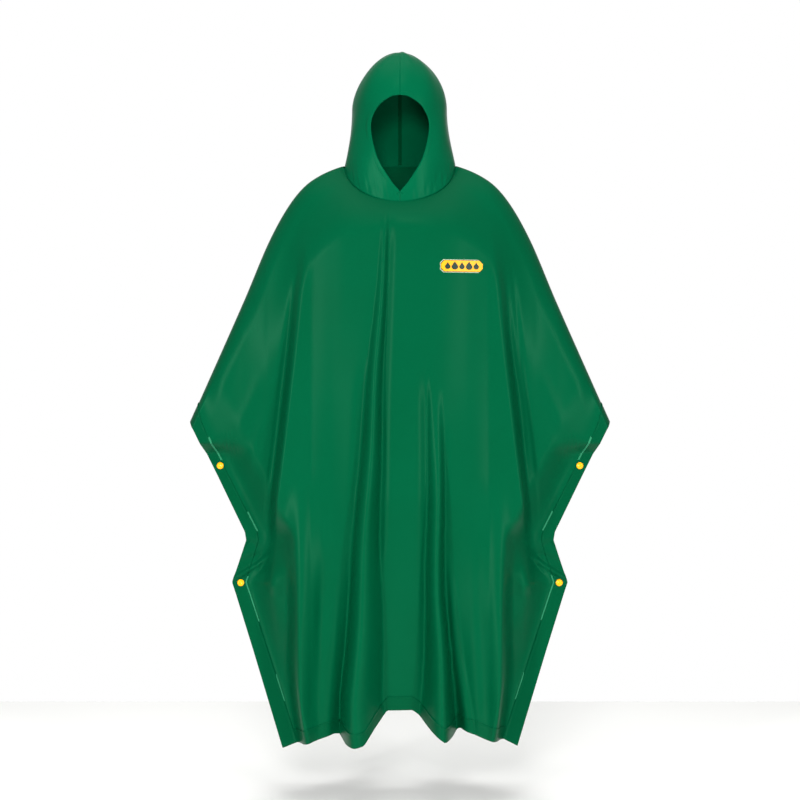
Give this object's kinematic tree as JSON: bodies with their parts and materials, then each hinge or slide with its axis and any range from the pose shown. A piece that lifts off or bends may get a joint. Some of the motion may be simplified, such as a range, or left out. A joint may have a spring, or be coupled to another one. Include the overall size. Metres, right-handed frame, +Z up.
{
  "type": "hooded rain poncho",
  "caption": "Hooded rain poncho of coated sheet in its worn, hollow form, with open face, cuffs, sides and hem, hem bands and press snaps.",
  "frame": {"origin": "middle of the neck at shoulder level, where the wearer's shoulders carry the garment", "axes": "+Z up, +X to the wearer's left, the front of the garment faces -Y"},
  "size_m": [0.9638, 0.3371, 1.59],
  "materials": {
    "coated_cloth": "smooth coated sheet, satin sheen",
    "band_cloth": "double coated sheet, welded hem, satin sheen",
    "snap_yellow": "glossy moulded caps",
    "badge_amber": "satin moulded face",
    "badge_edge": "pale matt rim"
  },
  "bodies": {
    "root": {"body_front": "coated_cloth", "body_back": "coated_cloth", "hood_left": "coated_cloth", "hood_right": "coated_cloth", "hood_seam_tape": "coated_cloth", "face_casing_left": "band_cloth", "face_casing_right": "band_cloth", "hem_band_front": "band_cloth", "hem_band_back": "band_cloth", "side_band_front_left": "band_cloth", "side_band_front_right": "band_cloth", "side_band_back_left": "band_cloth", "side_band_back_right": "band_cloth", "snap_front_upper_left": "snap_yellow", "snap_front_upper_right": "snap_yellow", "snap_front_lower_left": "snap_yellow", "snap_front_lower_right": "snap_yellow", "snap_back_upper_left": "snap_yellow", "snap_back_upper_right": "snap_yellow", "snap_back_lower_left": "snap_yellow", "snap_back_lower_right": "snap_yellow", "badge_rim": "badge_edge", "badge_face": "badge_amber"}
  },
  "joints": []
}
